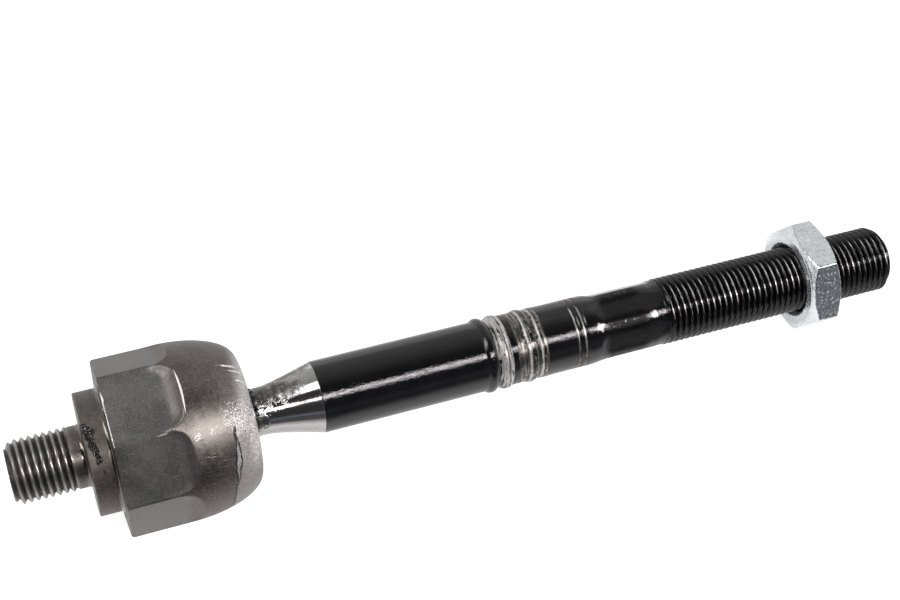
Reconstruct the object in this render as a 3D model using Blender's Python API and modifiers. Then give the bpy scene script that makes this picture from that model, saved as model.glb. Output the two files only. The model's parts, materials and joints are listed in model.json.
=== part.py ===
"""Inner tie rod: a swaged ball socket with its rack stud, a threaded ball rod and its lock nut.

Stations run along the socket from the rack face, where the collar seats on the steering rack.
Reaches run along the rod from the centre of its ball. The rod points along +X and lies as it
would on a table: on the belly of the socket's dome and one flat of the lock nut.
"""

from math import acos, asin, atan, cos, pi, sin, sqrt, tan

import bmesh
import bpy
from mathutils import Matrix, Vector

MM = 0.001
GAP = 0.3 * MM
ROUND_STEPS = 36

# Rack stud, an M14 x 1.5 thread
STUD_DIAMETER = 14.0 * MM
STUD_LENGTH = 16.2 * MM
STUD_CHAMFER_LENGTH = 1.7 * MM
STUD_CHAMFER_DEPTH = 1.0 * MM
UNDERCUT_DEPTH = 0.2 * MM
UNDERCUT_LENGTH = 3.2 * MM
UNDERCUT_FILLET = 0.9 * MM

# Collar behind the rack face
COLLAR_DIAMETER = 27.1 * MM
COLLAR_LENGTH = 5.3 * MM
COLLAR_CHAMFER = 0.2 * MM
COLLAR_FILLET = 0.5 * MM

# Socket body with its eight flats
BODY_WALL = 4.65 * MM
SOCKET_FLOOR_WALL = 7.3 * MM
SOCKET_FLOOR_CHAMFER = 2.6 * MM
FLAT_DEPTH = 1.45 * MM
WRENCH_FLAT_DEPTH = 2.15 * MM
FLAT_COUNT = 8
FLATS_ROLL = 7.6 * pi / 180
FLAT_LENGTH = 13.2 * MM
FLAT_RUNOUT = 3.0 * MM
BODY_CHAMFER = 0.4 * MM
DOME_LENGTH = 16.4 * MM
MOUTH_DIAMETER = 23.6 * MM
MOUTH_LIP = 2.64 * MM
MOUTH_RIM = 1.25 * MM
MOUTH_ROUND = 0.5 * MM

# Ball and the plastic seat around it
BALL_DIAMETER = 25.0 * MM
BALL_FLAT_DIAMETER = 4.0 * MM
SEAT_WALL = 1.9 * MM
SEAT_FLOOR = 1.2 * MM
SEAT_SETBACK = 0.86 * MM
SEAT_CHAMFER = 1.5 * MM
SEAT_LIP = 0.7 * MM
GREASE_HOLE = 6.0 * MM

# Disc spring behind the seat
SPRING_CLEARANCE = 1.9 * MM
SPRING_HOLE = 9.0 * MM
SPRING_THICKNESS = 0.9 * MM
SPRING_CONE = 0.7 * MM

# Rod, from the ball's neck to the shank
NECK_DIAMETER = 10.68 * MM
NECK_FILLET = 1.4 * MM
NECK_LENGTH = 2.94 * MM
FLARE_LENGTH = 8.9 * MM
FLARE_END_DROP = 1.07 * MM
CONE_LENGTH = 4.0 * MM
SHANK_DIAMETER = 16.3 * MM
SHANK_LENGTH = 38.05 * MM

# Bellows seat: the ridges and grooves that hold the boot and its clamp
BEAD_LENGTH = 2.5 * MM
BEAD_HEIGHT = 0.6 * MM
DEEP_GROOVE_LENGTH = 1.1 * MM
DEEP_GROOVE_DEPTH = 0.55 * MM
FIRST_RIDGE_LENGTH = 2.5 * MM
FIRST_RIDGE_HEIGHT = 0.52 * MM
CLAMP_SEAT_LENGTH = 3.5 * MM
SECOND_RIDGE_LENGTH = 2.5 * MM
SECOND_RIDGE_HEIGHT = 0.37 * MM
SHALLOW_GROOVE_LENGTH = 0.9 * MM
SHALLOW_GROOVE_DEPTH = 0.2 * MM
RIDGE_LAND = 0.05 * MM
BAND_LENGTH = 9.3 * MM
LINE_GROOVE_PITCH = 1.7 * MM
LINE_GROOVE_LENGTH = 0.8 * MM
LINE_GROOVE_DEPTH = 0.2 * MM

# Wrench hexagon before the rod thread
HEX_SETBACK = 1.8 * MM
HEX_LENGTH = 12.8 * MM
HEX_ACROSS = 14.9 * MM
HEX_CORNER_TRIM = 0.2 * MM
HEX_RUNOUT = 5.5 * MM
HEX_ROLL = 9.1 * pi / 180
HEX_TAPER = 1.8 * MM

# Rod thread, M16 x 1.5
ROD_THREAD_DIAMETER = 15.86 * MM
THREAD_SETBACK = 1.9 * MM
ROD_THREAD_LENGTH = 60.9 * MM
THREAD_RELIEF_DEPTH = 0.18 * MM
THREAD_RELIEF_LENGTH = 1.3 * MM
ROD_END_CHAMFER = 2.05 * MM

# Lock nut, 24 mm across flats
NUT_ACROSS = 24.0 * MM
NUT_THICKNESS = 8.0 * MM
NUT_FROM_END = 17.3 * MM
NUT_CHAMFER_DIAMETER = 22.8 * MM
NUT_CHAMFER_ANGLE = 30 * pi / 180
NUT_COUNTERSINK = 0.7 * MM

# Places that follow from the sizes above
SEAT_BORE_RADIUS = BALL_DIAMETER / 2 + GAP
SEAT_RADIUS = SEAT_BORE_RADIUS + SEAT_WALL
SOCKET_RADIUS = SEAT_RADIUS + GAP
SEAT_REAR = SEAT_BORE_RADIUS + SEAT_FLOOR
SPRING_HEIGHT = SPRING_THICKNESS + SPRING_CONE
SOCKET_DEPTH = SEAT_REAR + SPRING_HEIGHT + 2 * GAP
BALL_STATION = SOCKET_FLOOR_WALL + SOCKET_DEPTH
LIP_REACH = sqrt(SOCKET_RADIUS**2 - (MOUTH_DIAMETER / 2) ** 2)
SEAT_REACH = LIP_REACH - SEAT_SETBACK
MOUTH_STATION = BALL_STATION + LIP_REACH + MOUTH_LIP
DOME_STATION = MOUTH_STATION - DOME_LENGTH
BODY_RADIUS = SOCKET_RADIUS + BODY_WALL
DOME_DROP = BODY_RADIUS - MOUTH_DIAMETER / 2 - MOUTH_RIM

# Along the rod each feature follows the one before it
FILLET_RADIUS = NECK_DIAMETER / 2 + NECK_FILLET
NECK_REACH = sqrt((BALL_DIAMETER / 2 + NECK_FILLET) ** 2 - FILLET_RADIUS**2)
NECK_END_REACH = NECK_REACH + NECK_LENGTH
FLARE_END_REACH = NECK_END_REACH + FLARE_LENGTH
SHANK_REACH = FLARE_END_REACH + CONE_LENGTH
BEAD_REACH = SHANK_REACH + SHANK_LENGTH + BEAD_LENGTH / 2
DEEP_GROOVE_REACH = BEAD_REACH + (BEAD_LENGTH + DEEP_GROOVE_LENGTH) / 2 + RIDGE_LAND
FIRST_RIDGE_REACH = DEEP_GROOVE_REACH + (DEEP_GROOVE_LENGTH + FIRST_RIDGE_LENGTH) / 2 + RIDGE_LAND
RIDGE_PITCH = (FIRST_RIDGE_LENGTH + SECOND_RIDGE_LENGTH) / 2 + CLAMP_SEAT_LENGTH
SECOND_RIDGE_REACH = FIRST_RIDGE_REACH + RIDGE_PITCH
SHALLOW_GROOVE_SETBACK = (SECOND_RIDGE_LENGTH + SHALLOW_GROOVE_LENGTH) / 2 + RIDGE_LAND
SHALLOW_GROOVE_REACH = SECOND_RIDGE_REACH + SHALLOW_GROOVE_SETBACK
BAND_REACH = SHALLOW_GROOVE_REACH + SHALLOW_GROOVE_LENGTH / 2
FIRST_LINE_REACH = BAND_REACH + BAND_LENGTH + LINE_GROOVE_LENGTH / 2
SECOND_LINE_REACH = FIRST_LINE_REACH + LINE_GROOVE_PITCH
HEX_REACH = SECOND_LINE_REACH + LINE_GROOVE_LENGTH / 2 + HEX_SETBACK + 2 * HEX_TAPER
THREAD_START_REACH = HEX_REACH + HEX_LENGTH + THREAD_SETBACK
ROD_END_REACH = THREAD_START_REACH + ROD_THREAD_LENGTH
NUT_REACH = ROD_END_REACH - NUT_FROM_END - NUT_THICKNESS

# How it lies: the axis dips from the dome's belly to the far edge of the nut's lower flat
BELLY_STATION = COLLAR_LENGTH + FLAT_LENGTH + FLAT_RUNOUT
BELLY_SHARE = max(0, BELLY_STATION - DOME_STATION) / DOME_LENGTH
BELLY_RADIUS = BODY_RADIUS - DOME_DROP * (1 - sqrt(1 - BELLY_SHARE**2))
NUT_EDGE_TRIM = (NUT_ACROSS - NUT_CHAMFER_DIAMETER) / 2 * tan(NUT_CHAMFER_ANGLE)
NUT_EDGE_STATION = BALL_STATION + NUT_REACH + NUT_THICKNESS - NUT_EDGE_TRIM
DIP = atan((BELLY_RADIUS - NUT_ACROSS / 2) / (NUT_EDGE_STATION - BELLY_STATION))
RACK_FACE_HEIGHT = BELLY_STATION * sin(DIP) + BELLY_RADIUS * cos(DIP)
STUD_TIP_RADIUS = STUD_DIAMETER / 2 - STUD_CHAMFER_DEPTH
ROD_TIP_RADIUS = ROD_THREAD_DIAMETER / 2 - ROD_END_CHAMFER
LEFT_END = -STUD_LENGTH * cos(DIP) - STUD_TIP_RADIUS * sin(DIP)
RIGHT_END = (BALL_STATION + ROD_END_REACH) * cos(DIP) + ROD_TIP_RADIUS * sin(DIP)
RACK_FACE_PLACE = Vector((-(LEFT_END + RIGHT_END) / 2, 0, RACK_FACE_HEIGHT))


def arc(centre, radius, start, end, steps):
    """Points on a circle in the profile plane; angles run from +station towards +radius."""
    points = []
    for step in range(steps + 1):
        angle = start + (end - start) * step / steps
        points.append((centre[0] + radius * cos(angle), centre[1] + radius * sin(angle)))
    return points


def swell(place, length, height, base, steps=5):
    """A rounded bead on a cylinder, or with a negative height a rounded groove."""
    points = []
    for step in range(steps + 1):
        share = step / steps
        points.append((place + length * (share - 0.5), base + height * sin(pi * share)))
    return points


def dome_points(steps=12):
    """Quarter ellipse from the body's cylinder to the flat of the mouth."""
    points = []
    for step in range(steps + 1):
        angle = pi / 2 * step / steps
        drop = DOME_DROP * (1 - cos(angle))
        points.append((DOME_STATION + DOME_LENGTH * sin(angle), BODY_RADIUS - drop))
    return points


def housing_profile():
    """Stud, collar, body and swaged mouth, then back along the socket to its floor."""
    stud = STUD_DIAMETER / 2
    neck = stud - UNDERCUT_DEPTH
    collar = COLLAR_DIAMETER / 2
    mouth = MOUTH_DIAMETER / 2
    lip = acos(LIP_REACH / SOCKET_RADIUS)
    points = [
        (-STUD_LENGTH, 0),
        (-STUD_LENGTH, STUD_TIP_RADIUS),
        (-STUD_LENGTH + STUD_CHAMFER_LENGTH, stud),
        (-UNDERCUT_LENGTH - UNDERCUT_DEPTH, stud),
        (-UNDERCUT_LENGTH, neck),
    ]
    points += arc((-UNDERCUT_FILLET, neck + UNDERCUT_FILLET), UNDERCUT_FILLET, -pi / 2, 0, 4)
    points += [
        (0, collar - COLLAR_CHAMFER),
        (COLLAR_CHAMFER, collar),
    ]
    fillet_centre = (COLLAR_LENGTH - COLLAR_FILLET, collar + COLLAR_FILLET)
    points += arc(fillet_centre, COLLAR_FILLET, -pi / 2, 0, 3)
    points += [
        (COLLAR_LENGTH, BODY_RADIUS - BODY_CHAMFER),
        (COLLAR_LENGTH + BODY_CHAMFER, BODY_RADIUS),
    ]
    points += dome_points()
    points += arc((MOUTH_STATION - MOUTH_ROUND, mouth + MOUTH_ROUND), MOUTH_ROUND, 0, -pi / 2, 3)
    points += arc((BALL_STATION, 0), SOCKET_RADIUS, lip, pi / 2, 6)
    points += [
        (SOCKET_FLOOR_WALL + SOCKET_FLOOR_CHAMFER, SOCKET_RADIUS),
        (SOCKET_FLOOR_WALL, SOCKET_RADIUS - SOCKET_FLOOR_CHAMFER),
        (SOCKET_FLOOR_WALL, 0),
    ]
    return points


def seat_profile():
    """Cup that wraps the ball past its middle, with a grease hole in its floor."""
    outer_front = acos(SEAT_REACH / SEAT_RADIUS)
    lip_reach = SEAT_REACH - SEAT_LIP
    inner_front = acos(lip_reach / SEAT_BORE_RADIUS)
    inner_rear = pi - asin(GREASE_HOLE / 2 / SEAT_BORE_RADIUS)
    lip_radius = SEAT_BORE_RADIUS * sin(inner_front)
    points = [
        (-SEAT_REAR, GREASE_HOLE / 2),
        (-SEAT_REAR, SEAT_RADIUS - SEAT_CHAMFER),
        (-SEAT_REAR + SEAT_CHAMFER, SEAT_RADIUS),
    ]
    points += arc((0, 0), SEAT_RADIUS, pi / 2, outer_front, 5)
    points.append((SEAT_REACH, lip_radius + SEAT_LIP))
    points += arc((0, 0), SEAT_BORE_RADIUS, inner_front, inner_rear, 14)
    points.append(points[0])
    return points


def spring_profile():
    """Section of a coned disc, its inner edge towards the seat."""
    inner = SPRING_HOLE / 2
    outer = SOCKET_RADIUS - SOCKET_FLOOR_CHAMFER - SPRING_CLEARANCE
    front = -SEAT_REAR - GAP
    return [
        (front - SPRING_THICKNESS, inner),
        (front - SPRING_HEIGHT, outer),
        (front - SPRING_CONE, outer),
        (front, inner),
        (front - SPRING_THICKNESS, inner),
    ]


def ball_points():
    """Ball from the flat at its back to the fillet at the neck."""
    ball = BALL_DIAMETER / 2
    flat = asin(BALL_FLAT_DIAMETER / 2 / ball)
    tangent = asin(FILLET_RADIUS / (ball + NECK_FILLET))
    centre = (NECK_REACH, FILLET_RADIUS)
    points = [(-ball * cos(flat), 0)]
    points += arc((0, 0), ball, pi - flat, tangent, 15)
    points += arc(centre, NECK_FILLET, pi + tangent, 3 * pi / 2, 4)[1:]
    return points


def flare_points(steps=6):
    """Neck opening in a soft curve into the cone that carries the shank."""
    neck = NECK_DIAMETER / 2
    shank = SHANK_DIAMETER / 2
    end = shank - FLARE_END_DROP
    slope = FLARE_END_DROP / (SHANK_REACH - FLARE_END_REACH)
    bend_reach = FLARE_END_REACH - (end - neck) / slope
    points = []
    for step in range(steps + 1):
        t = step / steps
        reach = (1 - t) ** 2 * NECK_END_REACH + 2 * t * (1 - t) * bend_reach
        reach += t**2 * FLARE_END_REACH
        radius = (1 - t**2) * neck + t**2 * end
        points.append((reach, radius))
    points.append((SHANK_REACH, shank))
    return points


def rod_profile():
    """Ball, neck, shank, bellows seat, wrench zone and the plain core of the thread."""
    shank = SHANK_DIAMETER / 2
    corner = shank - HEX_CORNER_TRIM
    thread = ROD_THREAD_DIAMETER / 2
    relief = thread - THREAD_RELIEF_DEPTH
    relief_end = THREAD_START_REACH - THREAD_RELIEF_DEPTH
    relief_start = relief_end - THREAD_RELIEF_LENGTH
    hex_start = HEX_REACH - HEX_TAPER
    points = ball_points() + flare_points()
    points += swell(BEAD_REACH, BEAD_LENGTH, BEAD_HEIGHT, shank)
    points += swell(DEEP_GROOVE_REACH, DEEP_GROOVE_LENGTH, -DEEP_GROOVE_DEPTH, shank, 4)
    points += swell(FIRST_RIDGE_REACH, FIRST_RIDGE_LENGTH, FIRST_RIDGE_HEIGHT, shank)
    points += swell(SECOND_RIDGE_REACH, SECOND_RIDGE_LENGTH, SECOND_RIDGE_HEIGHT, shank)
    points += swell(SHALLOW_GROOVE_REACH, SHALLOW_GROOVE_LENGTH, -SHALLOW_GROOVE_DEPTH, shank, 4)
    for reach in (FIRST_LINE_REACH, SECOND_LINE_REACH):
        points += swell(reach, LINE_GROOVE_LENGTH, -LINE_GROOVE_DEPTH, shank, 2)
    points += [
        (hex_start - HEX_TAPER, shank),
        (hex_start, corner),
        (relief_start - HEX_TAPER, corner),
        (relief_start, relief),
        (relief_end, relief),
        (THREAD_START_REACH, thread),
        (ROD_END_REACH - ROD_END_CHAMFER, thread),
        (ROD_END_REACH, ROD_TIP_RADIUS),
        (ROD_END_REACH, 0),
    ]
    return points


def material(name, colour, metallic, roughness):
    made = bpy.data.materials.new(name)
    made.use_nodes = True
    made.diffuse_color = (*colour, 1)
    shader = made.node_tree.nodes["Principled BSDF"]
    shader.inputs["Base Color"].default_value = (*colour, 1)
    shader.inputs["Metallic"].default_value = metallic
    shader.inputs["Roughness"].default_value = roughness
    return made


def on_axis(station, roll=0.0):
    """Frame at a station, its X along the rod and rolled about it from upright."""
    dip = Matrix.Rotation(DIP, 4, "Y")
    along = Matrix.Translation((station, 0, 0))
    return Matrix.Translation(RACK_FACE_PLACE) @ dip @ along @ Matrix.Rotation(roll, 4, "X")


def turned(name, profile, station, collection, surface=None):
    """Turned solid: the profile, measured from its own station, is swept round the axis."""
    mesh = bpy.data.meshes.new(name)
    vertices = [(radius, 0, along) for along, radius in profile[::-1]]
    closed = profile[0] == profile[-1]
    if closed:
        vertices.pop()
    count = len(vertices)
    edges = [(i, i + 1) for i in range(count - 1)]
    if closed:
        edges.append((count - 1, 0))
    mesh.from_pydata(vertices, edges, [])
    obj = bpy.data.objects.new(name, mesh)
    collection.objects.link(obj)
    screw = obj.modifiers.new("turn", "SCREW")
    screw.steps = ROUND_STEPS
    screw.render_steps = ROUND_STEPS
    screw.use_merge_vertices = True
    screw.merge_threshold = 0.01 * MM
    screw.use_smooth_shade = False
    obj.matrix_world = on_axis(station) @ Matrix.Rotation(pi / 2, 4, "Y")
    if surface:
        mesh.materials.append(surface)
    return obj


def scoop(name, length, width, height, runout, both_ends, collection):
    """Block that mills one flat: its floor is the flat, rounded up at one end or at both."""
    mesh = bpy.data.meshes.new(name)
    form = bmesh.new()
    bmesh.ops.create_cube(form, size=1)
    bmesh.ops.scale(form, vec=(length, width, height), verts=form.verts)
    bmesh.ops.translate(form, vec=(0, 0, height / 2), verts=form.verts)
    ends = (1, -1) if both_ends else (1,)
    rounded = []
    for edge in form.edges:
        middle = (edge.verts[0].co + edge.verts[1].co) / 2
        for end in ends:
            if abs(middle.x - end * length / 2) < GAP and abs(middle.z) < GAP:
                rounded.append(edge)
    bmesh.ops.bevel(form, geom=rounded, offset=runout, segments=8, profile=0.5, affect="EDGES")
    form.to_mesh(mesh)
    form.free()
    obj = bpy.data.objects.new(name, mesh)
    collection.objects.link(obj)
    return obj


def combine(obj, tool, operation="DIFFERENCE"):
    """Boolean with a tool that stays in the scene as a wire guide."""
    step = obj.modifiers.new(tool.name, "BOOLEAN")
    step.object = tool
    step.operation = operation
    step.solver = "EXACT"
    tool.hide_render = True
    tool.display_type = "WIRE"


def make_housing(parts, tools):
    steel = material("housing_steel", (0.16, 0.15, 0.14), 0.9, 0.42)
    housing = turned("housing", housing_profile(), 0, parts, steel)
    overhang = BODY_CHAMFER
    length = FLAT_LENGTH + FLAT_RUNOUT + overhang
    middle = COLLAR_LENGTH - overhang + length / 2
    for index in range(FLAT_COUNT):
        pair = index % (FLAT_COUNT // 2) == 0
        depth = WRENCH_FLAT_DEPTH if pair else FLAT_DEPTH
        size = (length, 2 * BODY_RADIUS, depth + FLAT_RUNOUT)
        tool = scoop(f"flat_tool_{index}", *size, FLAT_RUNOUT, False, tools)
        roll = FLATS_ROLL + 2 * pi * index / FLAT_COUNT
        floor = Matrix.Translation((0, 0, BODY_RADIUS - depth))
        tool.matrix_world = on_axis(middle, roll) @ floor
        combine(housing, tool)
    return housing


def make_seat(parts):
    plastic = material("seat_plastic", (0.75, 0.72, 0.62), 0.0, 0.4)
    return turned("bearing_seat", seat_profile(), BALL_STATION, parts, plastic)


def make_spring(parts):
    steel = material("spring_steel", (0.22, 0.22, 0.23), 1.0, 0.35)
    return turned("disc_spring", spring_profile(), BALL_STATION, parts, steel)


def make_rod(parts, tools):
    paint = material("rod_paint", (0.02, 0.02, 0.02), 0.0, 0.25)
    rod = turned("ball_rod", rod_profile(), BALL_STATION, parts, paint)
    length = HEX_LENGTH + 2 * HEX_RUNOUT
    middle = BALL_STATION + HEX_REACH + HEX_LENGTH / 2
    size = (length, SHANK_DIAMETER, SHANK_DIAMETER / 2 + HEX_RUNOUT)
    for index in range(6):
        tool = scoop(f"hex_tool_{index}", *size, HEX_RUNOUT, True, tools)
        roll = HEX_ROLL + index * pi / 3
        tool.matrix_world = on_axis(middle, roll) @ Matrix.Translation((0, 0, HEX_ACROSS / 2))
        combine(rod, tool)
    return rod


def nut_chamfer_profile():
    """Turned envelope that takes the corners off both faces of the nut."""
    corner = NUT_ACROSS / 2 / cos(pi / 6)
    face = NUT_CHAMFER_DIAMETER / 2
    reach = corner + GAP
    depth = (reach - face) * tan(NUT_CHAMFER_ANGLE)
    return [
        (0, 0),
        (0, face),
        (depth, reach),
        (NUT_THICKNESS - depth, reach),
        (NUT_THICKNESS, face),
        (NUT_THICKNESS, 0),
    ]


def nut_bore_profile():
    """Turned tool for the bore and the countersink at each end."""
    bore = ROD_THREAD_DIAMETER / 2 + GAP
    mouth = bore + NUT_COUNTERSINK + GAP
    return [
        (-GAP, 0),
        (-GAP, mouth),
        (NUT_COUNTERSINK, bore),
        (NUT_THICKNESS - NUT_COUNTERSINK, bore),
        (NUT_THICKNESS + GAP, mouth),
        (NUT_THICKNESS + GAP, 0),
    ]


def make_nut(parts, tools):
    zinc = material("nut_zinc", (0.72, 0.75, 0.76), 1.0, 0.3)
    mesh = bpy.data.meshes.new("lock_nut")
    form = bmesh.new()
    corner = NUT_ACROSS / 2 / cos(pi / 6)
    bmesh.ops.create_cone(
        form, cap_ends=True, segments=6, radius1=corner, radius2=corner, depth=NUT_THICKNESS
    )
    bmesh.ops.translate(form, vec=(0, 0, NUT_THICKNESS / 2), verts=form.verts)
    form.to_mesh(mesh)
    form.free()
    mesh.materials.append(zinc)
    nut = bpy.data.objects.new("lock_nut", mesh)
    parts.objects.link(nut)
    station = BALL_STATION + NUT_REACH
    nut.matrix_world = on_axis(station) @ Matrix.Rotation(pi / 2, 4, "Y")
    combine(nut, turned("nut_chamfer_tool", nut_chamfer_profile(), station, tools), "INTERSECT")
    combine(nut, turned("nut_bore_tool", nut_bore_profile(), station, tools))
    return nut


def shade_round(obj):
    """Smooth the turned faces and keep the real edges sharp."""
    obj.data.shade_smooth()
    obj.data.set_sharp_from_angle(angle=pi / 6)


def add_joint_empties(parts, rod, seat, nut):
    """The ball's centre carries the seat, the seat carries the rod and the rod its nut."""
    centre = bpy.data.objects.new("ball_centre", None)
    parts.objects.link(centre)
    centre.matrix_world = on_axis(BALL_STATION)
    centre.empty_display_size = BALL_DIAMETER / 2
    bpy.context.view_layer.update()
    for child, carrier in ((seat, centre), (rod, centre), (nut, rod)):
        place = child.matrix_world.copy()
        child.parent = carrier
        child.matrix_parent_inverse = carrier.matrix_world.inverted()
        child.matrix_world = place


def main():
    for obj in list(bpy.data.objects):
        bpy.data.objects.remove(obj, do_unlink=True)
    parts = bpy.data.collections.new("inner_tie_rod")
    tools = bpy.data.collections.new("shaping_tools")
    bpy.context.scene.collection.children.link(parts)
    bpy.context.scene.collection.children.link(tools)
    housing = make_housing(parts, tools)
    seat = make_seat(parts)
    spring = make_spring(parts)
    rod = make_rod(parts, tools)
    nut = make_nut(parts, tools)
    add_joint_empties(parts, rod, seat, nut)
    for obj in (housing, seat, spring, rod, nut):
        shade_round(obj)


main()
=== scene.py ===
"""Looks of the inner tie rod: worn steel socket, black painted rod, zinc lock nut, studio."""

import json
from math import acos, atan2, cos, degrees, pi, radians, sin, sqrt, tan

import bmesh
import bpy
import numpy as np
from mathutils import Matrix, Vector


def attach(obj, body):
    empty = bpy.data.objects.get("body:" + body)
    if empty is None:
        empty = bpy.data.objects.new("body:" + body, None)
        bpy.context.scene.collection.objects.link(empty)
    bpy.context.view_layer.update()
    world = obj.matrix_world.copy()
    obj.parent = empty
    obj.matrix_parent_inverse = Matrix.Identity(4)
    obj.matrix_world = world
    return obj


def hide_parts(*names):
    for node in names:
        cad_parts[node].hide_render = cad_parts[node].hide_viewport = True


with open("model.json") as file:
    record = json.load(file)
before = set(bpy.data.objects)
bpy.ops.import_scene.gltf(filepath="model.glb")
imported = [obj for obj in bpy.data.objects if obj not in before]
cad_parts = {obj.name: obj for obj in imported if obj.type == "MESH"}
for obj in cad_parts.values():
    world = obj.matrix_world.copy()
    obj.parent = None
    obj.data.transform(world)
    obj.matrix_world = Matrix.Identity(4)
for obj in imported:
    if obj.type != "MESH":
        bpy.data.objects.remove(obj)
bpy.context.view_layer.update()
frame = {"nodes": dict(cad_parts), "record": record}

# Stations along the rod from the rack face, in millimetres
STUD_TIP, STUD_END = -16.2, -3.2
BODY_START, DOME_START, MOUTH = 5.3, 19.0, 35.4
BALL_STATION, NECK_END, FLARE_END, PAINT_START = 23.5, 38.6, 47.5, 51.2
HEX_START, HEX_END, THREAD_START, ROD_END = 119.9, 132.7, 134.5, 195.5
NUT_START, NUT_END = 170.2, 178.2

# Radii, flats' distances from the axis and thread pitch, in millimetres
STUD_RADIUS, COLLAR_RADIUS, BODY_RADIUS = 7.0, 13.55, 19.65
BALL_RADIUS, NECK_RADIUS, SHANK_RADIUS, THREAD_RADIUS = 12.5, 5.34, 8.15, 7.93
WRENCH_FLAT, PLAIN_FLAT, HEX_FLAT, NUT_FLAT = 17.5, 18.2, 7.45, 12.0
PITCH = 1.5
# Farther out than any surface, where a cutter takes nothing
NO_CUT = 99.0

# Degrees round the rod where the body's first flat and the hexagon's first flat face
BODY_TURN, HEX_TURN = 82.4, 80.9

MM = 0.001
TURN = frame["record"]["behaviour"]["joints"][0]
AXIS = Vector(TURN["axis"]).normalized()
DIP = atan2(-AXIS.z, AXIS.x)
RACK_FACE = Vector(TURN["pos_m"]) - AXIS * BALL_STATION * MM
# Turns stations and radii into world metres
ROD_FRAME = Matrix.Translation(RACK_FACE) @ Matrix.Rotation(DIP, 4, "Y") @ Matrix.Scale(MM, 4)


# Node helpers

def plug(tree, node, feeds):
    """Set a node's inputs to values, or link them to other sockets."""
    for key, value in feeds.items():
        if isinstance(value, bpy.types.NodeSocket):
            tree.links.new(value, node.inputs[key])
        else:
            node.inputs[key].default_value = value


def add(tree, kind, feeds=None, **settings):
    """A node with its settings and its inputs."""
    made = tree.nodes.new(kind)
    for name, value in settings.items():
        setattr(made, name, value)
    plug(tree, made, feeds or {})
    return made


def math(tree, operation, first, second=0.0, third=0.0, clamp=False):
    feeds = {0: first, 1: second, 2: third}
    return add(tree, "ShaderNodeMath", feeds, operation=operation, use_clamp=clamp).outputs[0]


def times(tree, first, *others):
    """Product of masks and numbers."""
    for other in others:
        first = math(tree, "MULTIPLY", first, other)
    return first


def largest(tree, first, *others):
    for other in others:
        first = math(tree, "MAXIMUM", first, other)
    return first


def left_by(tree, mask):
    """What a mask leaves free."""
    return math(tree, "SUBTRACT", 1.0, mask)


def length(tree, first, second):
    """Length of two numbers at right angles to each other."""
    square = math(tree, "MULTIPLY_ADD", first, first, math(tree, "POWER", second, 2.0))
    return math(tree, "SQRT", square)


def ease(tree, value, low, high, to_low=0.0, to_high=1.0):
    """Smooth step from one value to another."""
    feeds = {"Value": value, "From Min": low, "From Max": high, "To Min": to_low, "To Max": to_high}
    kind = "ShaderNodeMapRange"
    return add(tree, kind, feeds, interpolation_type="SMOOTHSTEP").outputs["Result"]


def fade(tree, value, low, high):
    """Smooth step from one down to nothing."""
    return ease(tree, value, low, high, 1.0, 0.0)


def band(tree, value, low, high, soft):
    """One between two values, with soft sides."""
    rise = ease(tree, value, low - soft, low + soft)
    return times(tree, rise, fade(tree, value, high - soft, high + soft))


def bands(tree, value, pairs, soft):
    """Largest of several bands."""
    return largest(tree, *(band(tree, value, low, high, soft) for low, high in pairs))


def blend(tree, share, first, second):
    """Number between two others."""
    return add(tree, "ShaderNodeMix", {0: share, 2: first, 3: second}).outputs[0]


def blend_colours(tree, share, *colours):
    """Colour between two others, each a socket or red, green and blue."""
    first, second = ((*value, 1) if isinstance(value, tuple) else value for value in colours)
    return add(tree, "ShaderNodeMix", {0: share, 6: first, 7: second}, data_type="RGBA").outputs[2]


def coats(tree, colour, layers):
    """Colour with others laid over it in turn, each through its own mask."""
    for mask, tint in layers:
        colour = blend_colours(tree, mask, colour, tint)
    return colour


def stretch(tree, place, scale):
    return add(tree, "ShaderNodeMapping", {"Vector": place, "Scale": scale}).outputs[0]


def grain(tree, place, scale, detail=4.0, roughness=0.55):
    feeds = {"Vector": place, "Scale": scale, "Detail": detail, "Roughness": roughness}
    return add(tree, "ShaderNodeTexNoise", feeds).outputs[0]


def group_tree(name, inputs, outputs):
    """Empty shader node group whose sockets are given by name and kind."""
    tree = bpy.data.node_groups.new(name, "ShaderNodeTree")
    for way, sockets in (("INPUT", inputs), ("OUTPUT", outputs)):
        for title, kind in sockets.items():
            tree.interface.new_socket(title, in_out=way, socket_type="NodeSocket" + kind)
    return tree, tree.nodes.new("NodeGroupInput").outputs, tree.nodes.new("NodeGroupOutput")


def use(tree, group, feeds=None):
    return add(tree, "ShaderNodeGroup", feeds, node_tree=group)


def new_material(name):
    """Material with its tree and its Principled shader."""
    made = bpy.data.materials.new(name)
    made.use_nodes = True
    tree = made.node_tree
    return made, tree, tree.nodes["Principled BSDF"]


def bump(tree, height, strength, distance, before=None):
    feeds = {"Height": height, "Strength": strength, "Distance": distance}
    if before is not None:
        feeds["Normal"] = before
    return add(tree, "ShaderNodeBump", feeds).outputs[0]


# Shared surface effects

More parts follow.
